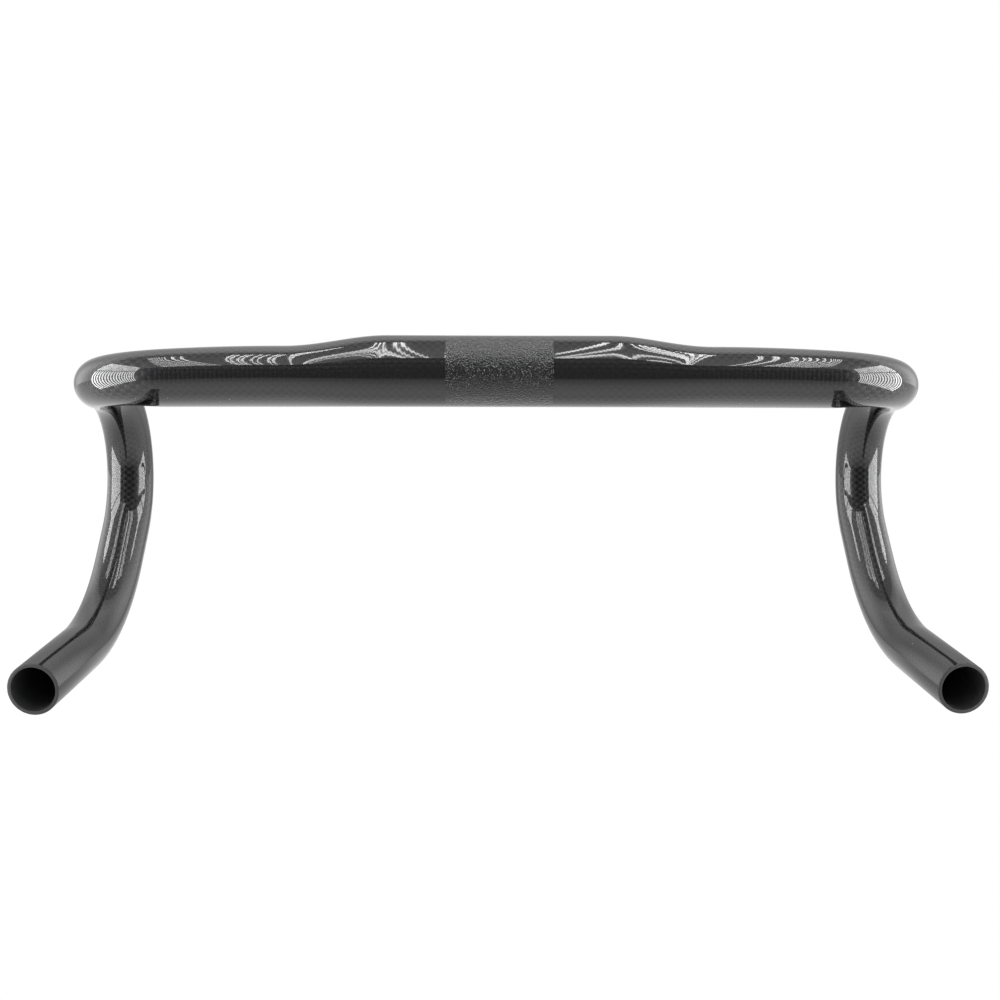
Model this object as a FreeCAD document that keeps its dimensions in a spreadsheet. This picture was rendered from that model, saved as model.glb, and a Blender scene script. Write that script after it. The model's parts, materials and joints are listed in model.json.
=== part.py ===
import FreeCAD, Part
import math
import os
import Sketcher

# Road bike drop handlebar: one hollow moulded tube, its right half built outwards from the
# stem clamp and mirrored. Millimetres and degrees; the origin is the middle of the clamp,
# +X runs along the bar, +Y points forward and +Z up.

NODE = "handlebar"

# Driving dimensions: name, value, what it measures
DIMENSIONS = (
    ("clamp_diameter", 31.8, "round seat that the stem grips"),
    ("clamp_length", 100.0, "parallel length of that seat"),
    ("clamp_wall", 2.6, "wall at the seat"),
    ("shoulder_length", 45.0, "change from the round seat to the oval tops"),
    ("top_depth", 38.0, "oval tops beside the shoulder, front to back"),
    ("top_height", 26.8, "oval tops beside the shoulder, top to bottom"),
    ("top_tilt", 5.0, "angle by which the oval's back edge is raised"),
    ("top_length", 55.0, "tops, shoulder to bend"),
    ("top_fall", 0.85, "fall of the tops' middle over that length"),
    ("bend_depth", 34.5, "oval where the bend begins, front to back"),
    ("bend_height", 25.4, "oval where the bend begins, top to bottom"),
    ("bend_radius", 34.0, "bend from the tops into the ramp"),
    ("toe_in", 5.6, "angle by which the ramps point towards each other"),
    ("ramp_fall", 1.6, "angle by which the ramp falls"),
    ("ramp_length", 2.5, "straight ramp, bend to hook"),
    ("tube_diameter", 22.2, "round tube from the ramp to the open end"),
    ("tube_wall", 1.6, "wall of the tops and of that tube"),
    ("flare", 0.8, "angle by which the hook leans outwards"),
    ("hook_radius", 43.5, "hook, where the levers sit"),
    ("hook_turn", 122.0, "angle turned by the hook"),
    ("hook_length", 17.5, "straight run under the hook"),
    ("drop_radius", 89.0, "easy bend into the drop"),
    ("drop_turn", 45.0, "angle turned by that bend"),
    ("drop_length", 58.5, "straight drop, up to the open end"),
    ("rim_chamfer", 0.3, "broken outer edge of the open end"),
)

# Places along the shoulder, the tops and the bend where a section is set, as shares of
# their length
SHOULDER_STEPS = (0.0, 0.08, 0.25, 0.5, 0.75, 0.92, 1.0)
TOP_STEPS = (0.0, 0.25, 0.5, 0.75, 1.0)
BEND_STEPS = (0.0, 0.25, 0.5, 0.75, 1.0)

# Derived sizes, written as expressions of the sheet's cells
CLAMP_END = "(dims.clamp_length / 2)"
TOP_START = f"({CLAMP_END} + dims.shoulder_length)"
BEND_START = f"({TOP_START} + dims.top_length)"
TOP_SAG = "((dims.clamp_diameter - dims.top_height) / 2)"
BEND_SAG = f"({TOP_SAG} + dims.top_fall)"
BEND_TURN = "(90 + dims.toe_in)"

# Points of a sketch's edges and its axes, as its constraints number them
POINT = {"start": 1, "end": 2, "centre": 3}
ORIGIN = (-1, POINT["start"])
VERTICAL_AXIS = -2
NORMAL = FreeCAD.Vector(0, 0, 1)


def ease(share):
    """Smooth change from 0 to 1 with no slope at either end."""
    return share * share * (3 - 2 * share)


def ease_in(share):
    """Smooth change from 0 to 1 with no slope at the start."""
    return share * share


def ease_out(share):
    """Smooth change from 0 to 1 with no slope at the end."""
    return share * (2 - share)


def between(first, last, change):
    """Expression for a size that has gone this share of the way to another."""
    return f"({first} + ({last} - {first}) * {change:.6f})"


def on_bend(turn):
    """Expressions for X, Y and Z on the bend's centre line after a turn."""
    forward = f"(dims.bend_radius * (1 - cos({turn})))"
    x = f"({BEND_START} + dims.bend_radius * sin({turn}))"
    y = f"({forward} * cos(dims.ramp_fall))"
    z = f"(-{BEND_SAG} - {forward} * sin(dims.ramp_fall))"
    return x, y, z


doc = FreeCAD.newDocument("handlebar")

# Sheet of driving dimensions
dims = doc.addObject("Spreadsheet::Sheet", "dims")
for row, (name, value, meaning) in enumerate(DIMENSIONS, start=1):
    dims.set(f"A{row}", name)
    dims.set(f"B{row}", str(value))
    dims.set(f"C{row}", meaning)
    dims.setAlias(f"B{row}", name)
doc.recompute()

body = doc.addObject("PartDesign::Body", "Handlebar")
body.Label = NODE
planes = {feature.Role: feature for feature in body.Origin.OriginFeatures}


def new_sketch(name, plane, offset):
    """Empty sketch of the body, placed from one of its origin planes by an expression."""
    sketch = body.newObject("Sketcher::SketchObject", name)
    sketch.AttachmentSupport = [(planes[plane], "")]
    sketch.MapMode = "FlatFace"
    sketch.setExpression("AttachmentOffset", offset)
    return sketch


def set_size(sketch, name, expression, kind, edge, value):
    """Named dimension of one edge of a sketch, bound to the sheet."""
    sketch.renameConstraint(sketch.addConstraint(Sketcher.Constraint(kind, edge, value)), name)
    sketch.setExpression(f"Constraints.{name}", expression)


def round_section(name, offset, diameter, wall):
    """Round ring across the X axis, where the expression puts it."""
    sketch = new_sketch(name, "YZ_Plane", offset)
    outer_radius = dims.tube_diameter / 2
    bore_radius = outer_radius - dims.tube_wall
    sizes = (
        ("outside", outer_radius, f"{diameter} / 2"),
        ("bore", bore_radius, f"{diameter} / 2 - {wall}"),
    )
    for side, radius, expression in sizes:
        circle = sketch.addGeometry(Part.Circle(FreeCAD.Vector(), NORMAL, radius), False)
        sketch.addConstraint(Sketcher.Constraint("Coincident", circle, POINT["centre"], *ORIGIN))
        set_size(sketch, side, expression, "Radius", circle, radius)
    return sketch


def oval_section(name, offset, depth, height, wall):
    """Oval ring across the X axis; its long axis lies along the sketch's x."""
    sketch = new_sketch(name, "YZ_Plane", offset)
    for side, inset in (("outside", 0.0), ("bore", dims.tube_wall)):
        less = f" - 2 * {wall}" if inset else ""
        half_depth = dims.top_depth / 2 - inset
        half_height = dims.top_height / 2 - inset
        oval = sketch.addGeometry(Part.Ellipse(FreeCAD.Vector(), half_depth, half_height), False)
        sketch.exposeInternalGeometry(oval)
        long_axis = oval + 1
        short_axis = oval + 2
        sketch.addConstraint(Sketcher.Constraint("Coincident", oval, POINT["centre"], *ORIGIN))
        sketch.addConstraint(Sketcher.Constraint("Horizontal", long_axis))
        set_size(sketch, f"{side}_depth", f"{depth}{less}", "Distance", long_axis, 2 * half_depth)
        set_size(sketch, f"{side}_height", f"{height}{less}", "Distance", short_axis, 2 * half_height)
    return sketch


def straight_place(along, sag, tilt):
    """Square to the X axis: a distance along it, a sag below it and tilted about it."""
    return f"placement(vector(0; -{sag}; {along}); rotation(vector(0; 0; 1); -{tilt}))"


def bend_place(turn, tilt):
    """Square to the bend's centre line; the sketch's own x, y and z are the bar's Y, Z and X."""
    x, y, z = on_bend(turn)
    hinge = "vector(sin(dims.ramp_fall); cos(dims.ramp_fall); 0)"
    turned = f"rotation({hinge}; {turn}) * rotation(vector(0; 0; 1); -{tilt})"
    return f"placement(vector({y}; {z}; {x}); {turned})"


def loft(name, sections):
    """Hollow solid through ring sections, in order."""
    feature = body.newObject("PartDesign::AdditiveLoft", name)
    feature.Profile = sections[0]
    feature.Sections = sections[1:]


def pipe(name, section, path):
    """Hollow solid that carries a ring section along a path."""
    feature = body.newObject("PartDesign::AdditivePipe", name)
    feature.Profile = section
    feature.Spine = path
    feature.Mode = "Frenet"
    return feature


def pad(name, section, length):
    """Hollow solid of one section along the X axis."""
    feature = body.newObject("PartDesign::Pad", name)
    feature.Profile = section
    feature.setExpression("Length", length)


# Clamp: the plain cylinder in the middle
middle = straight_place("0", "0", "0")
clamp_section = round_section("clamp_section", middle, "dims.clamp_diameter", "dims.clamp_wall")
pad("clamp", clamp_section, CLAMP_END)

# Shoulder: flattens into the oval tops and keeps the underside of the bar straight
shoulder_start = straight_place(CLAMP_END, "0", "0")
shoulder_sections = [
    round_section("shoulder_start", shoulder_start, "dims.clamp_diameter", "dims.clamp_wall")
]
for index, share in enumerate(SHOULDER_STEPS[1:], start=1):
    change = ease(share)
    place = straight_place(
        f"({CLAMP_END} + dims.shoulder_length * {share})",
        f"({TOP_SAG} * {change:.6f})",
        f"(dims.top_tilt * {change:.6f})",
    )
    section = oval_section(
        f"shoulder_section_{index}",
        place,
        between("dims.clamp_diameter", "dims.top_depth", change),
        between("dims.clamp_diameter", "dims.top_height", change),
        between("dims.clamp_wall", "dims.tube_wall", change),
    )
    shoulder_sections.append(section)
loft("shoulder", shoulder_sections)

# Tops: the oval grip, which falls and narrows a little towards the bend
top_sections = shoulder_sections[-1:]
for index, share in enumerate(TOP_STEPS[1:], start=1):
    change = ease_in(share)
    place = straight_place(
        f"({TOP_START} + dims.top_length * {share})",
        between(TOP_SAG, BEND_SAG, change),
        "dims.top_tilt",
    )
    section = oval_section(
        f"top_section_{index}",
        place,
        between("dims.top_depth", "dims.bend_depth", change),
        between("dims.top_height", "dims.bend_height", change),
        "dims.tube_wall",
    )
    top_sections.append(section)
loft("tops", top_sections)

# Bend: turns forward into the ramp while the oval narrows to the round tube
bend_sections = top_sections[-1:]
for index, share in enumerate(BEND_STEPS[1:-1], start=1):
    change = ease_out(share)
    section = oval_section(
        f"bend_section_{index}",
        bend_place(f"({BEND_TURN} * {share})", f"(dims.top_tilt * {1 - change:.6f})"),
        between("dims.bend_depth", "dims.tube_diameter", change),
        between("dims.bend_height", "dims.tube_diameter", change),
        "dims.tube_wall",
    )
    bend_sections.append(section)
bend_end_place = bend_place(BEND_TURN, "0")
bend_sections.append(
    round_section("bend_end", bend_end_place, "dims.tube_diameter", "dims.tube_wall")
)
fall = "rotation(vector(1; 0; 0); -dims.ramp_fall)"
bend_path = new_sketch(
    "bend_path", "XY_Plane", f"placement(vector({BEND_START}; 0; -{BEND_SAG}); {fall})"
)
bend_turn = math.radians(90 + dims.toe_in)
bend_circle = Part.Circle(FreeCAD.Vector(0, dims.bend_radius, 0), NORMAL, dims.bend_radius)
bend_arc = bend_path.addGeometry(
    Part.ArcOfCircle(bend_circle, -math.pi / 2, bend_turn - math.pi / 2), False
)
bend_path.addConstraint(Sketcher.Constraint("Coincident", bend_arc, POINT["start"], *ORIGIN))
bend_path.addConstraint(
    Sketcher.Constraint("PointOnObject", bend_arc, POINT["centre"], VERTICAL_AXIS)
)
set_size(bend_path, "radius", "dims.bend_radius", "Radius", bend_arc, dims.bend_radius)
set_size(bend_path, "turn", BEND_TURN, "Angle", bend_arc, bend_turn)
bend = pipe("bend", bend_sections[0], bend_path)
bend.Transformation = "Multisection"
bend.Sections = bend_sections[1:]

# Ramp, hook and drop: one plane, which starts where the bend ends. In it x runs along the
# ramp and y up, and each arc turns clockwise.
bend_end = "vector({}; {}; {})".format(*on_bend(BEND_TURN))
heading = f"rotation(vector(0; 0; 1); {BEND_TURN})"
lean = "rotation(vector(1; 0; 0); 90 - dims.flare)"
drop_path = new_sketch("drop_path", "XY_Plane", f"placement({bend_end}; {fall} * {heading} * {lean})")


def add_run(name, begin, angle, length):
    """Straight run of the path; returns the edge and its far end."""
    finish = begin + FreeCAD.Vector(math.cos(angle), -math.sin(angle)) * length
    edge = drop_path.addGeometry(Part.LineSegment(begin, finish), False)
    set_size(drop_path, name, f"dims.{name}", "Distance", edge, length)
    return edge, finish


def add_turn(name, begin, angle, radius, turn):
    """Clockwise arc of the path; returns the edge and its far end."""
    centre = begin + FreeCAD.Vector(-math.sin(angle), -math.cos(angle)) * radius
    first = math.pi / 2 - angle
    arc = Part.ArcOfCircle(Part.Circle(centre, NORMAL, radius), first - turn, first)
    edge = drop_path.addGeometry(arc, False)
    set_size(drop_path, f"{name}_radius", f"dims.{name}_radius", "Radius", edge, radius)
    set_size(drop_path, f"{name}_turn", f"dims.{name}_turn", "Angle", edge, turn)
    return edge, arc.StartPoint


hook_turn = math.radians(dims.hook_turn)
drop_turn = math.radians(dims.drop_turn)
ramp_run, point = add_run("ramp_length", FreeCAD.Vector(), 0.0, dims.ramp_length)
hook_arc, point = add_turn("hook", point, 0.0, dims.hook_radius, hook_turn)
hook_run, point = add_run("hook_length", point, hook_turn, dims.hook_length)
drop_arc, point = add_turn("drop", point, hook_turn, dims.drop_radius, drop_turn)
drop_run, point = add_run("drop_length", point, hook_turn + drop_turn, dims.drop_length)
drop_path.addConstraint(Sketcher.Constraint("Coincident", ramp_run, POINT["start"], *ORIGIN))
drop_path.addConstraint(Sketcher.Constraint("Horizontal", ramp_run))
for arc, before, after in ((hook_arc, ramp_run, hook_run), (drop_arc, hook_run, drop_run)):
    drop_path.addConstraint(Sketcher.Constraint("Tangent", before, POINT["end"], arc, POINT["end"]))
    drop_path.addConstraint(Sketcher.Constraint("Tangent", arc, POINT["start"], after, POINT["start"]))
drop = pipe("drop", bend_sections[-1], drop_path)
doc.recompute()

# Rim: the outer edge of the open end is broken. It is the drop's edge nearest the path's end
# with the tube's own radius.
end_point = drop_path.Shape.Edges[drop_run].Vertexes[-1].Point
rims = [
    (edge.CenterOfMass.distanceToPoint(end_point), f"Edge{number}")
    for number, edge in enumerate(drop.Shape.Edges, start=1)
    if isinstance(edge.Curve, Part.Circle)
    and math.isclose(edge.Curve.Radius, dims.tube_diameter / 2, rel_tol=1e-6)
]
rim = body.newObject("PartDesign::Chamfer", "rim")
rim.Base = (drop, [min(rims)[1]])
rim.setExpression("Size", "dims.rim_chamfer")
doc.recompute()

# Left half: the mirror image of all the above
whole = body.newObject("PartDesign::Mirrored", "whole_bar")
whole.TransformMode = "Whole shape"
whole.MirrorPlane = (planes["YZ_Plane"], [""])
body.Tip = whole
doc.recompute()

# Nothing is written unless every object came out right
for item in doc.Objects:
    if "Invalid" in item.State or "Error" in item.State:
        raise RuntimeError(f"{item.Label} failed: {item.State}")
if body.Shape.isNull() or not body.Shape.isValid() or len(body.Shape.Solids) != 1:
    raise RuntimeError(f"{body.Label} is not one valid solid")
os.makedirs("parts", exist_ok=True)
body.Shape.exportStep(f"parts/{body.Label}.step")
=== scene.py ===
import json
import math

import bmesh
import bpy
from mathutils import Matrix, Vector


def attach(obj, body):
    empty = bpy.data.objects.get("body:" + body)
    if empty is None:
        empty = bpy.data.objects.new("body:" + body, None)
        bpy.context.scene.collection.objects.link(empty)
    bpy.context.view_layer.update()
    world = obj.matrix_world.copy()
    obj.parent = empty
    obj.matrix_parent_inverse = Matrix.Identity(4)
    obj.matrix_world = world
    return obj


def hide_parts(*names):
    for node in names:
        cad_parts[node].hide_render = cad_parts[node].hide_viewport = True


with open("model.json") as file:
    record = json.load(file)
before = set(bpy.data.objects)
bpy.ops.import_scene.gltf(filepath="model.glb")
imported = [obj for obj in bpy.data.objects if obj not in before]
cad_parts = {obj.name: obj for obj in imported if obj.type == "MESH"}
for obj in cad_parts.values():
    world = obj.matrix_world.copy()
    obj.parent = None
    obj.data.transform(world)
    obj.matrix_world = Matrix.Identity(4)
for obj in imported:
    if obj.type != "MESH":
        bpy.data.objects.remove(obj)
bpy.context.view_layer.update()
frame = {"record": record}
record = frame["record"]

# Road bike drop handlebar: one moulded carbon tube. Metres; +X along the bar, +Y forward, +Z up.

MM = 0.001
mounts = {mount["name"]: mount for mount in record["mounts"]}

# Sizes of the tube, from the stem clamp outwards
CLAMP_DIAMETER = 2 * mounts["stem_clamp"]["dims"]["r_mm"] * MM
CLAMP_HALF = mounts["stem_clamp"]["dims"]["length_mm"] / 2 * MM
GRIP_HALF = 23.6 * MM
GRIP_EDGE = 0.35 * MM
GRIP_SINK = 0.05 * MM
SHOULDER_LENGTH = 45 * MM
TOP_DEPTH = 38 * MM
TOP_HEIGHT = 26.8 * MM
TOP_TILT = math.radians(5)
TOP_LENGTH = 55 * MM
TOP_SAG = (CLAMP_DIAMETER - TOP_HEIGHT) / 2
TOP_FALL = 0.85 * MM
BEND_DEPTH = 34.5 * MM
BEND_HEIGHT = 25.4 * MM
BEND_RADIUS = 34 * MM
TOE_IN = math.radians(5.6)
BEND_TURN = math.pi / 2 + TOE_IN
RAMP_FALL = math.radians(1.6)
RAMP_LENGTH = 2.5 * MM
TUBE_DIAMETER = 2 * mounts["right_lever"]["dims"]["r_mm"] * MM
TUBE_BORE = 2 * mounts["right_bar_end"]["dims"]["r_mm"] * MM
FLARE = math.radians(0.8)
HOOK_RADIUS = 43.5 * MM
HOOK_TURN = math.radians(122)
HOOK_LENGTH = 17.5 * MM
DROP_RADIUS = 89 * MM
DROP_TURN = math.radians(45)
DROP_LENGTH = mounts["right_bar_end"]["dims"]["length_mm"] * MM
RIM_BREAK = 0.3 * MM
SMOOTH_ANGLE = math.radians(35)

# Points nearer than this count as one place, and so do lengths along the bar equal to this many digits
TOUCH = 0.1 * MM
DIGITS = 7

# The camera stands behind the bar, a little left of its middle and level with the hooks
CAMERA_PLACE = Vector((-13.3, -740.2, -60.1)) * MM
CAMERA_LENS = 59.85
CAMERA_SENSOR = 36
CAMERA_TURN = math.radians(-1.07)
CAMERA_ROLL = math.radians(-0.05)
CAMERA_PITCH = math.radians(90.215)


def colour(code):
    """Linear colour of an sRGB hex value."""
    channels = [int(code[place:place + 2], 16) / 255 for place in (1, 3, 5)]
    linear = [c / 12.92 if c <= 0.04045 else ((c + 0.055) / 1.055) ** 2.4 for c in channels]
    return (*linear, 1.0)


def add_node(tree, kind, settings=None, feeds=()):
    """Add a node, set its own settings, and link or set each of its inputs."""
    node = tree.nodes.new(kind)
    for name, value in (settings or {}).items():
        setattr(node, name, value)
    for socket, source in feeds:
        if isinstance(source, bpy.types.NodeSocket):
            tree.links.new(source, node.inputs[socket])
        else:
            node.inputs[socket].default_value = source
    return node


def ease(share):
    """Smooth change from 0 to 1 with no slope at either end."""
    return share * share * (3 - 2 * share)


def between(first, last, change):
    return first + (last - first) * change


# The tube: one ring of points is drawn out from the middle of the clamp to the open end

SEAM = math.radians(45)
RING_POINTS = 96
bpy.ops.object.select_all(action="DESELECT")
bpy.ops.mesh.primitive_circle_add(
    vertices=RING_POINTS, radius=CLAMP_DIAMETER / 2, location=(0, 0, 0), rotation=(0, math.pi / 2, 0)
)
bar = bpy.context.object
bar.name = "handlebar_shell"
bar.data.name = "handlebar_shell"
bpy.ops.object.transform_apply(rotation=True)
bpy.ops.object.mode_set(mode="EDIT")
bpy.ops.mesh.select_all(action="SELECT")
shell = bmesh.from_edit_mesh(bar.data)
shell.verts.layers.float.new("along")
around_layer = shell.verts.layers.float.new("around")
for point in shell.verts:
    point[around_layer] = (math.atan2(point.co.z, point.co.y) - SEAM) % (2 * math.pi)

ring = {
    "centre": Vector(),
    "frame": Matrix.Identity(3),
    "depth": CLAMP_DIAMETER,
    "height": CLAMP_DIAMETER,
    "tilt": 0.0,
    "along": 0.0,
}


def scale_ring(depth, height, tilt):
    bpy.ops.transform.resize(
        value=(1, depth, height),
        orient_type="GLOBAL",
        orient_matrix=ring["frame"] @ Matrix.Rotation(-tilt, 3, "X"),
        orient_matrix_type="GLOBAL",
        center_override=ring["centre"],
    )


def shape_ring(depth, height, tilt):
    """Bring the ring in hand back to a circle, then flatten it along its new axes."""
    scale_ring(TUBE_DIAMETER / ring["depth"], TUBE_DIAMETER / ring["height"], ring["tilt"])
    scale_ring(depth / TUBE_DIAMETER, height / TUBE_DIAMETER, tilt)
    ring.update(depth=depth, height=height, tilt=tilt)
    shell = bmesh.from_edit_mesh(bar.data)
    along_layer = shell.verts.layers.float["along"]
    for point in shell.verts:
        if point.select:
            point[along_layer] = ring["along"]


def draw_ring(step, depth, height, tilt):
    """Extrude the ring straight on and reshape it."""
    bpy.ops.mesh.extrude_edges_move(TRANSFORM_OT_translate={"value": step})
    ring["centre"] = ring["centre"] + step
    ring["along"] += step.length
    shape_ring(depth, height, tilt)


def swing_ring(angle, radius, pivot, axis, depth, height, tilt):
    """Spin the ring one step round a bend and reshape it."""
    bpy.ops.mesh.spin(steps=1, angle=-angle, center=pivot, axis=axis)
    turn = Matrix.Rotation(angle, 3, axis)
    ring["frame"] = turn @ ring["frame"]
    ring["centre"] = pivot + turn @ (ring["centre"] - pivot)
    ring["along"] += abs(angle) * radius
    shape_ring(depth, height, tilt)


def draw_tube(step):
    draw_ring(step, TUBE_DIAMETER, TUBE_DIAMETER, 0.0)


def swing_tube(turn, radius, steps, pivot, axis):
    for _ in range(steps):
        swing_ring(turn / steps, radius, pivot, axis, TUBE_DIAMETER, TUBE_DIAMETER, 0.0)


# Clamp, with the edge of the sunk gripping band; the close rings keep the shine straight beside it
sunk = CLAMP_DIAMETER - 2 * GRIP_SINK
shape_ring(sunk, sunk, 0.0)
draw_ring(Vector((GRIP_HALF - GRIP_EDGE, 0, 0)), sunk, sunk, 0.0)
draw_ring(Vector((GRIP_EDGE, 0, 0)), sunk, sunk, 0.0)
for _ in range(2):
    draw_ring(Vector((GRIP_EDGE, 0, 0)), CLAMP_DIAMETER, CLAMP_DIAMETER, 0.0)
CLAMP_STEPS = 8
smooth_length = CLAMP_HALF - ring["centre"].x
for _ in range(CLAMP_STEPS):
    draw_ring(Vector((smooth_length / CLAMP_STEPS, 0, 0)), CLAMP_DIAMETER, CLAMP_DIAMETER, 0.0)

# Shoulder: the round seat flattens into the oval tops
SHOULDER_STEPS = 18
for number in range(1, SHOULDER_STEPS + 1):
    change = ease(number / SHOULDER_STEPS)
    target = Vector((CLAMP_HALF + SHOULDER_LENGTH * number / SHOULDER_STEPS, 0, -TOP_SAG * change))
    draw_ring(
        target - ring["centre"],
        between(CLAMP_DIAMETER, TOP_DEPTH, change),
        between(CLAMP_DIAMETER, TOP_HEIGHT, change),
        TOP_TILT * change,
    )

# Tops: they fall and narrow a little towards the bend
TOP_STEPS = 12
for number in range(1, TOP_STEPS + 1):
    change = (number / TOP_STEPS) ** 2
    place = CLAMP_HALF + SHOULDER_LENGTH + TOP_LENGTH * number / TOP_STEPS
    target = Vector((place, 0, -TOP_SAG - TOP_FALL * change))
    draw_ring(
        target - ring["centre"],
        between(TOP_DEPTH, BEND_DEPTH, change),
        between(TOP_HEIGHT, BEND_HEIGHT, change),
        TOP_TILT,
    )

# Bend: forward into the ramp, while the oval narrows to the round tube
fall = Matrix.Rotation(-RAMP_FALL, 3, "X")
bend_axis = fall @ Vector((0, 0, 1))
bend_pivot = ring["centre"] + fall @ Vector((0, BEND_RADIUS, 0))
BEND_STEPS = 28
for number in range(1, BEND_STEPS + 1):
    share = number / BEND_STEPS
    change = share * (2 - share)
    swing_ring(
        BEND_TURN / BEND_STEPS,
        BEND_RADIUS,
        bend_pivot,
        bend_axis,
        between(BEND_DEPTH, TUBE_DIAMETER, change),
        between(BEND_HEIGHT, TUBE_DIAMETER, change),
        TOP_TILT * (1 - change),
    )

# Ramp, hook and drop lie in one plane: x along the ramp, y up, and each arc turns downwards
HOOK_STEPS = 36
DROP_STEPS = 18
plane = fall @ Matrix.Rotation(BEND_TURN, 3, "Z") @ Matrix.Rotation(math.pi / 2 - FLARE, 3, "X")
drop_axis = plane @ Vector((0, 0, 1))


def heading(angle):
    """Direction of the tube, and the direction to the inside of its turn, at an angle of fall."""
    onward = plane @ Vector((math.cos(angle), -math.sin(angle), 0))
    inward = plane @ Vector((-math.sin(angle), -math.cos(angle), 0))
    return onward, inward


onward, inward = heading(0)
draw_tube(onward * RAMP_LENGTH)
swing_tube(-HOOK_TURN, HOOK_RADIUS, HOOK_STEPS, ring["centre"] + inward * HOOK_RADIUS, drop_axis)
onward, inward = heading(HOOK_TURN)
draw_tube(onward * HOOK_LENGTH)
swing_tube(-DROP_TURN, DROP_RADIUS, DROP_STEPS, ring["centre"] + inward * DROP_RADIUS, drop_axis)
onward, inward = heading(HOOK_TURN + DROP_TURN)
draw_tube(onward * DROP_LENGTH)
open_end = ring["centre"].copy()
open_axis = onward.copy()

bpy.ops.object.mode_set(mode="OBJECT")

# Cloth map in metres: u along the bar, v round it. The cloth is cut along the up-front line.
shell = bmesh.new()
shell.from_mesh(bar.data)
along_layer = shell.verts.layers.float["along"]
around_layer = shell.verts.layers.float["around"]
girth_layer = shell.verts.layers.float.new("girth")
rings = {}
for point in shell.verts:
    rings.setdefault(round(point[along_layer], DIGITS), []).append(point)
girths = {}
for along, members in rings.items():
    members.sort(key=lambda point: point[around_layer])
    girth = 0.0
    for before, after in zip(members, members[1:]):
        before[girth_layer] = girth
        girth += (after.co - before.co).length
    members[-1][girth_layer] = girth
    girths[along] = girth + (members[0].co - members[-1].co).length
cloth_map = shell.loops.layers.uv.new("cloth")
for face in shell.faces:
    crosses = max(loop.vert[around_layer] for loop in face.loops) > 1.5 * math.pi
    for loop in face.loops:
        along = round(loop.vert[along_layer], DIGITS)
        girth = loop.vert[girth_layer]
        if crosses and loop.vert[around_layer] < 0.5 * math.pi:
            girth += girths[along]
        loop[cloth_map].uv = (along, girth - girths[along] / 2)
shell.to_mesh(bar.data)
shell.free()

# Left half, wall, broken rim
mirror = bar.modifiers.new("left_half", "MIRROR")
mirror.use_mirror_u = True
mirror.mirror_offset_u = -1.0
mirror.merge_threshold = TOUCH
bpy.ops.object.modifier_apply(modifier="left_half")
bpy.ops.object.mode_set(mode="EDIT")
bpy.ops.mesh.select_all(action="SELECT")
bpy.ops.mesh.normals_make_consistent(inside=False)
bpy.ops.object.mode_set(mode="OBJECT")
OUTSIDE, INSIDE, EDGE, GRIP = range(4)
for name in ("gloss_carbon_cloth", "raw_laminate", "cut_laminate", "gritty_carbon_cloth"):
    bar.data.materials.append(bpy.data.materials.new(name))
wall = bar.modifiers.new("wall", "SOLIDIFY")
wall.thickness = (TUBE_DIAMETER - TUBE_BORE) / 2
wall.offset = -1.0
wall.material_offset = INSIDE
wall.material_offset_rim = EDGE
bpy.ops.object.modifier_apply(modifier="wall")

bpy.ops.object.mode_set(mode="EDIT")
bpy.ops.mesh.select_all(action="DESELECT")
bpy.ops.mesh.select_mode(type="EDGE")
shell = bmesh.from_edit_mesh(bar.data)
for edge in shell.edges:
    ends = []
    for point in edge.verts:
        offset = Vector((abs(point.co.x), point.co.y, point.co.z)) - open_end
        at_mouth = abs(offset.dot(open_axis)) < TOUCH
        ends.append(at_mouth and offset.length > TUBE_DIAMETER / 2 - TOUCH)
    edge.select_set(all(ends))
bmesh.update_edit_mesh(bar.data)
bpy.ops.mesh.bevel(offset=RIM_BREAK, segments=2, affect="EDGES")
bpy.ops.mesh.select_mode(type="FACE")
bpy.ops.mesh.select_all(action="DESELECT")
shell = bmesh.from_edit_mesh(bar.data)
for face in shell.faces:
    middle = face.calc_center_median()
    outside = math.hypot(middle.y, middle.z) > sunk / 2 - TOUCH
    if outside and abs(middle.x) < GRIP_HALF:
        face.material_index = GRIP
bmesh.update_edit_mesh(bar.data)
bpy.ops.object.mode_set(mode="OBJECT")
bpy.ops.object.shade_smooth_by_angle(angle=SMOOTH_ANGLE)

# Materials

TOW = 2 * MM
TOW_SWELL = 0.06 * MM
# Check colours: dark fibre with painted sheen, the tows along the bar painted lighter than those round
# it
FIBRE_ALONG_WITH_SHEEN = "#2e2e2f"
FIBRE_ROUND_WITH_SHEEN = "#242425"
QUARTER_TURN = 0.25
COAT_WAVE = 25 * MM
COAT_WAVE_HEIGHT = 0.012 * MM
COAT_RIPPLE = 0.0005 * MM
GRAIN = 0.77 * MM
GRAIN_HEIGHT = 0.62 * MM
WRINKLE = 6 * MM
WRINKLE_HEIGHT = 0.2 * MM
SAWN_GRAIN = 0.8 * MM
SAWN_GRAIN_HEIGHT = 0.03 * MM


def empty_tree(owner):
    """Node tree of a material or a world, cleared for building."""
    owner.use_nodes = True
    owner.node_tree.nodes.clear()
    return owner.node_tree


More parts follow.
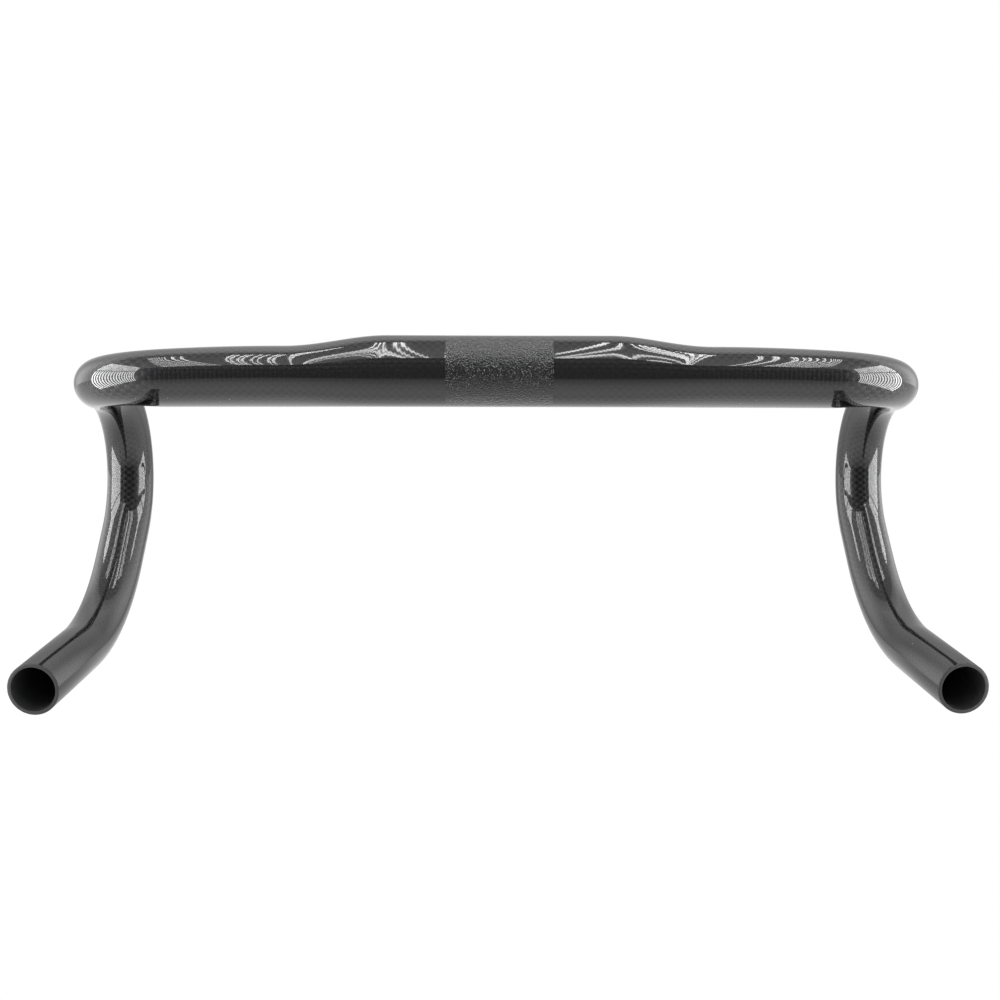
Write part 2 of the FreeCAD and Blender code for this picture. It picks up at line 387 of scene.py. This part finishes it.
def lay_cloth(tree):
    """Plain weave of flat tows: which way each check's fibres run, how far each check swells, and the
    checks' two colours, dark fibre with a painted sheen that makes one way of tow lighter.
    """
    cloth = add_node(tree, "ShaderNodeUVMap", {"uv_map": "cloth"})
    checks = add_node(tree, "ShaderNodeTexChecker", {}, (
        ("Vector", cloth.outputs["UV"]),
        ("Color1", colour(FIBRE_ALONG_WITH_SHEEN)),
        ("Color2", colour(FIBRE_ROUND_WITH_SHEEN)),
        ("Scale", 1 / TOW),
    ))
    phase = add_node(tree, "ShaderNodeVectorMath", {"operation": "SCALE"}, (
        ("Vector", cloth.outputs["UV"]),
        ("Scale", math.pi / TOW),
    ))
    wave = add_node(tree, "ShaderNodeVectorMath", {"operation": "SINE"}, ((0, phase.outputs["Vector"]),))
    swell = add_node(tree, "ShaderNodeVectorMath", {"operation": "DOT_PRODUCT"}, (
        (0, wave.outputs["Vector"]),
        (1, wave.outputs["Vector"]),
    ))
    return checks, swell.outputs["Value"]


def noise_in_metres(tree, size):
    """Soft noise in the bar's own space, with lumps of about the given size."""
    spot = add_node(tree, "ShaderNodeTexCoord")
    return add_node(tree, "ShaderNodeTexNoise", {}, (
        ("Vector", spot.outputs["Object"]),
        ("Scale", 1 / size),
        ("Detail", 1.0),
    ))


def lay_carbon(tree, coat_normal, checks, swell, coat, coat_roughness):
    """Dark fibre, which shines across its own direction, under a clear coat."""
    pillow = add_node(tree, "ShaderNodeBump", {}, (("Distance", TOW_SWELL), ("Height", swell)))
    turn = add_node(tree, "ShaderNodeMath", {"operation": "MULTIPLY"}, (
        (0, checks.outputs["Fac"]),
        (1, QUARTER_TURN),
    ))
    tangent = add_node(tree, "ShaderNodeTangent", {"direction_type": "UV_MAP", "uv_map": "cloth"})
    shader = add_node(tree, "ShaderNodeBsdfPrincipled", {}, (
        # The checks' colours hold a painted sheen as well as the dark fibre
        ("Base Color", checks.outputs["Color"]),
        ("Metallic", 1.0),
        ("Roughness", 0.55),
        ("Specular Tint", colour("#6a6a6a")),
        ("Anisotropic", 0.5),
        ("Anisotropic Rotation", turn.outputs[0]),
        ("Tangent", tangent.outputs["Tangent"]),
        ("Normal", pillow.outputs["Normal"]),
        ("Coat Weight", coat),
        ("Coat Roughness", coat_roughness),
        ("Coat IOR", 1.5),
        ("Coat Normal", coat_normal),
    ))
    add_node(tree, "ShaderNodeOutputMaterial", {}, (("Surface", shader.outputs["BSDF"]),))


def lay_bare(tree, dark, pale, size, height, roughness):
    """Laminate with no coat on it: two shades that drift into each other on an uneven face."""
    patches = noise_in_metres(tree, size)
    shades = add_node(tree, "ShaderNodeValToRGB", {}, ((0, patches.outputs["Fac"]),))
    shades.color_ramp.elements[0].color = colour(dark)
    shades.color_ramp.elements[1].color = colour(pale)
    uneven = add_node(tree, "ShaderNodeBump", {}, (
        ("Distance", height),
        ("Height", patches.outputs["Fac"]),
    ))
    shader = add_node(tree, "ShaderNodeBsdfPrincipled", {}, (
        ("Base Color", shades.outputs["Color"]),
        ("Roughness", roughness),
        ("Normal", uneven.outputs["Normal"]),
    ))
    add_node(tree, "ShaderNodeOutputMaterial", {}, (("Surface", shader.outputs["BSDF"]),))


# Gloss carbon cloth: sharp reflections that ripple over the checks, which show faintly below them
# # through their own shine and a painted sheen in their two colours
tree = empty_tree(bar.data.materials[OUTSIDE])
checks, swell = lay_cloth(tree)
drift = noise_in_metres(tree, COAT_WAVE)
slow_wave = add_node(tree, "ShaderNodeBump", {}, (
    ("Distance", COAT_WAVE_HEIGHT),
    ("Height", drift.outputs["Fac"]),
))
ripple = add_node(tree, "ShaderNodeBump", {}, (
    ("Distance", COAT_RIPPLE),
    ("Height", swell),
    ("Normal", slow_wave.outputs["Normal"]),
))
lay_carbon(tree, ripple.outputs["Normal"], checks, swell, coat=1.0, coat_roughness=0.03)

# Gritty clear coat in the stem clamp: the same cloth under grains that sparkle in the light. Real
# grit is finer than a pixel, so it is drawn coarser.
tree = empty_tree(bar.data.materials[GRIP])
checks, swell = lay_cloth(tree)
grains = noise_in_metres(tree, GRAIN)
grit = add_node(tree, "ShaderNodeBump", {}, (
    ("Distance", GRAIN_HEIGHT),
    ("Height", grains.outputs["Fac"]),
))
lay_carbon(tree, grit.outputs["Normal"], checks, swell, coat=0.95, coat_roughness=0.05)

# Raw inner wall: dark and dull, with soft wrinkles left by the moulding
tree = empty_tree(bar.data.materials[INSIDE])
lay_bare(tree, "#2a2a2b", "#3c3c3d", WRINKLE, WRINKLE_HEIGHT, roughness=0.6)

# Cut edge of the laminate: dull grey, with a fine sawn grain
tree = empty_tree(bar.data.materials[EDGE])
lay_bare(tree, "#303031", "#424243", SAWN_GRAIN, SAWN_GRAIN_HEIGHT, roughness=0.55)

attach(bar, "root")
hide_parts("handlebar")

# Studio: a white table and room, a dark opening round the camera, and strip lamps. Front is here the
# camera's side, at -Y.

TABLE_LEVEL = -0.38
TABLE_FRONT = -0.713
TABLE_SIZE = 24
bpy.ops.object.select_all(action="DESELECT")
table_middle = (0, TABLE_FRONT + TABLE_SIZE / 2, TABLE_LEVEL)
bpy.ops.mesh.primitive_plane_add(size=TABLE_SIZE, location=table_middle)
table = bpy.context.object
table.name = "white_table"


def level_ramp(tree, place, levels):
    """Grey level at a place, from pairs of place and level in rising order."""
    first = levels[0][0]
    last = levels[-1][0]
    share = add_node(tree, "ShaderNodeMapRange", {}, (
        ("Value", place),
        ("From Min", first),
        ("From Max", last),
    ))
    ramp = add_node(tree, "ShaderNodeValToRGB", {}, ((0, share.outputs[0]),))
    stops = ramp.color_ramp.elements
    stops.remove(stops[1])
    for number, (at, level) in enumerate(levels):
        position = (at - first) / (last - first)
        stop = stops.new(position) if number else stops[0]
        stop.position = position
        stop.color = (level, level, level, 1)
    return ramp.outputs["Color"]


def seen_straight(tree):
    """The light path, and 1 for a ray that the camera sends, straight or through glass."""
    path = add_node(tree, "ShaderNodeLightPath")
    straight = add_node(tree, "ShaderNodeMath", {"operation": "ADD"}, (
        (0, path.outputs["Is Camera Ray"]),
        (1, path.outputs["Is Transmission Ray"]),
    ))
    return path, straight.outputs[0]


# The table is white to the camera, which sees its colour lifted to white. In the gloss it glows with
# # painted light: a painted pool of light round the bar, with a painted shadow of the bar at 0.03, that
# # dims towards the table's front and far back; its colour is painted shade, darker towards its front.
# # Each row runs from front to back: place, level
# Painted shade: the table's colour darkens towards its front
TABLE_PAINTED_SHADE = ((TABLE_FRONT, 0.35), (-0.6, 0.5), (-0.3, 0.8))
TABLE_IN_VIEW = ((TABLE_FRONT, 0.7), (-0.6, 0.56), (-0.3, 0.3))
# Painted light in the gloss: a pool of light round the bar, a painted shadow of the bar at 0.03, dimming
# to front and back
TABLE_PAINTED_LIGHT_IN_GLOSS = (
    (TABLE_FRONT, 0.0), (-0.45, 0.12), (-0.1, 0.6), (0.03, 0.45),
    (0.15, 0.6), (0.4, 0.65), (1.0, 0.35), (3.0, 0.3),
)
card = bpy.data.materials.new("white_card_painted_light")
tree = empty_tree(card)
geometry = add_node(tree, "ShaderNodeNewGeometry")
spot = add_node(tree, "ShaderNodeSeparateXYZ", {}, ((0, geometry.outputs["Position"]),))
path, straight = seen_straight(tree)
# Painted glow: the gloss sees the painted pool of light and shadow, and the camera sees the lift to
# white
painted_glow = add_node(tree, "ShaderNodeMix", {}, (
    ("Factor", straight),
    ("A", level_ramp(tree, spot.outputs["Y"], TABLE_PAINTED_LIGHT_IN_GLOSS)),
    ("B", level_ramp(tree, spot.outputs["Y"], TABLE_IN_VIEW)),
))
seen = add_node(tree, "ShaderNodeMath", {"operation": "ADD"}, (
    (0, straight),
    (1, path.outputs["Is Glossy Ray"]),
))
white_lift_and_painted_glow = add_node(tree, "ShaderNodeMath", {"operation": "MULTIPLY"}, (
    (0, painted_glow.outputs["Result"]),
    (1, seen.outputs[0]),
))
shader = add_node(tree, "ShaderNodeBsdfPrincipled", {}, (
    # Base colour with painted shade, darker towards the table's front
    ("Base Color", level_ramp(tree, spot.outputs["Y"], TABLE_PAINTED_SHADE)),
    ("Roughness", 0.9),
    ("Specular IOR Level", 0.0),
    ("Emission Color", (1, 1, 1, 1)),
    ("Emission Strength", white_lift_and_painted_glow.outputs[0]),
))
add_node(tree, "ShaderNodeOutputMaterial", {}, (("Surface", shader.outputs["BSDF"]),))
table.data.materials.append(card)

# The room as the gloss sees it, by its angle over the bar: 0 is towards the camera, 90 overhead and
# 180 the far wall. It is dark round the camera.
ROOM_LEVELS = (
    (-180, 0.65), (-150, 0.8), (-60, 0.9), (-45, 0.02), (37.6, 0.02), (38.4, 1.0), (80, 0.6),
    (107, 0.55), (108.5, 1.1), (122, 1.4), (135, 0.95), (150, 0.72), (180, 0.65),
)
# The room's sides begin and are full at these shares of X in the direction, and are brighter to the back
SIDE_START = 0.5
SIDE_FULL = 0.82
SIDE_LEVELS = ((-0.1, 0.95), (0.5, 2.1))
# All but the gloss gets plain light, and the camera sees white
PLAIN_LIGHT = 0.9
WHITE = 1.0
world = bpy.data.worlds.new("studio")
bpy.context.scene.world = world
tree = empty_tree(world)
direction = add_node(tree, "ShaderNodeTexCoord")
view = add_node(tree, "ShaderNodeSeparateXYZ", {}, ((0, direction.outputs["Generated"]),))
towards = add_node(tree, "ShaderNodeMath", {"operation": "MULTIPLY"}, (
    (0, view.outputs["Y"]),
    (1, -1.0),
))
over = add_node(tree, "ShaderNodeMath", {"operation": "ARCTAN2"}, (
    (0, view.outputs["Z"]),
    (1, towards.outputs[0]),
))
angle = add_node(tree, "ShaderNodeMath", {"operation": "DEGREES"}, ((0, over.outputs[0]),))
sideways = add_node(tree, "ShaderNodeMath", {"operation": "ABSOLUTE"}, ((0, view.outputs["X"]),))
beside = add_node(tree, "ShaderNodeMapRange", {"interpolation_type": "SMOOTHSTEP"}, (
    ("Value", sideways.outputs[0]),
    ("From Min", SIDE_START),
    ("From Max", SIDE_FULL),
))
room = add_node(tree, "ShaderNodeMix", {}, (
    ("Factor", beside.outputs[0]),
    ("A", level_ramp(tree, angle.outputs[0], ROOM_LEVELS)),
    ("B", level_ramp(tree, view.outputs["Y"], SIDE_LEVELS)),
))
path, straight = seen_straight(tree)
in_gloss = add_node(tree, "ShaderNodeMix", {}, (
    ("Factor", path.outputs["Is Glossy Ray"]),
    ("A", PLAIN_LIGHT),
    ("B", room.outputs["Result"]),
))
level = add_node(tree, "ShaderNodeMix", {}, (
    ("Factor", straight),
    ("A", in_gloss.outputs["Result"]),
    ("B", WHITE),
))
light = add_node(tree, "ShaderNodeBackground", {}, (
    ("Color", (1, 1, 1, 1)),
    ("Strength", level.outputs["Result"]),
))
add_node(tree, "ShaderNodeOutputWorld", {}, (("Surface", light.outputs[0]),))


def strip_lamp(name, place, turn, width, length, brightness):
    """Thin lamp that shows in the gloss; it is out of the picture and adds no plain light."""
    lamp = bpy.data.lights.new(name, "AREA")
    lamp.shape = "RECTANGLE"
    lamp.size = width
    lamp.size_y = length
    lamp.energy = math.pi * width * length * brightness
    holder = bpy.data.objects.new(name, lamp)
    holder.location = place
    holder.rotation_euler = turn
    holder.visible_camera = False
    holder.visible_diffuse = False
    bpy.context.collection.objects.link(holder)


# Walls of upright strips at both sides, in two tiers
WALL = 0.75
WALL_FRONT = -0.56
WALL_STEP = 0.042
WALL_COUNT = 17
WALL_TIERS = ((-0.36, 0.22), (0.25, 0.55))
WALL_WIDTH = 0.014
WALL_BRIGHTNESS = 21
for side in (-1, 1):
    for number in range(WALL_COUNT):
        for tier, (low, high) in enumerate(WALL_TIERS):
            strip_lamp(
                f"wall_strip_{side}_{number}_{tier}",
                (side * WALL, WALL_FRONT + WALL_STEP * number, (low + high) / 2),
                (math.pi / 2, 0, side * math.pi / 2),
                WALL_WIDTH,
                high - low,
                WALL_BRIGHTNESS,
            )

# Banks of strips overhead, which run from front to back. Millimetres and degrees: place of the first
# strip's back end, spacing, number of strips, slant, and how far back they reach
ROOF = 0.8
ROOF_FRONT = -1.02
ROOF_WIDTH = 0.003
ROOF_BRIGHTNESS = 18
ROOF_BANKS = (
    (-500, 15, 11, -3, 60), (-336, 0, 1, -3, 60),
    (-256, 8, 2, -4.6, 60), (-235, 8, 2, -4.7, 60), (-213, 11, 2, -4.3, 60),
    (-189, 0, 1, -3.5, 60), (-182, 0, 1, -3.2, 60), (-174, 6, 2, 0.8, 130),
    (-115, 0, 1, 1.2, 130), (-104, 0, 1, 0.6, 130), (-95, 0, 1, 0.3, 130),
    (-80, 0, 1, 0, 130), (-75, 0, 1, 0.6, 130),
    (112, 4, 2, -2.8, 150), (139, 5, 2, -2.7, 150), (168, 0, 1, -2.6, 150),
    (182, 0, 1, -4, 150), (189, 0, 1, -4.5, 150), (196, 0, 1, -5, 150),
    (203, 6, 2, -5.3, 120), (215, 0, 1, -5, 120),
    (277, 5, 2, 2, 60), (301, 5, 2, 2.5, 60), (328, 6, 2, 4, 60), (346, 10, 2, 4, 60),
    (368, 12, 8, 4, 60),
)
for bank, (first, spacing, count, slant, back) in enumerate(ROOF_BANKS):
    turn = math.radians(slant)
    length = back * MM - ROOF_FRONT
    for number in range(count):
        across = (first + spacing * number) * MM + math.sin(turn) * length / 2
        middle = (across, ROOF_FRONT + length / 2, ROOF)
        name = f"roof_strip_{bank}_{number}"
        strip_lamp(name, middle, (0, 0, turn), ROOF_WIDTH, length, ROOF_BRIGHTNESS)

camera_data = bpy.data.cameras.new("camera")
camera_data.lens = CAMERA_LENS
camera_data.sensor_width = CAMERA_SENSOR
camera = bpy.data.objects.new("camera", camera_data)
camera.location = CAMERA_PLACE
camera.rotation_euler = (CAMERA_PITCH, CAMERA_ROLL, CAMERA_TURN)
bpy.context.collection.objects.link(camera)
bpy.context.scene.camera = camera

bpy.context.scene.view_settings.view_transform = "Standard"
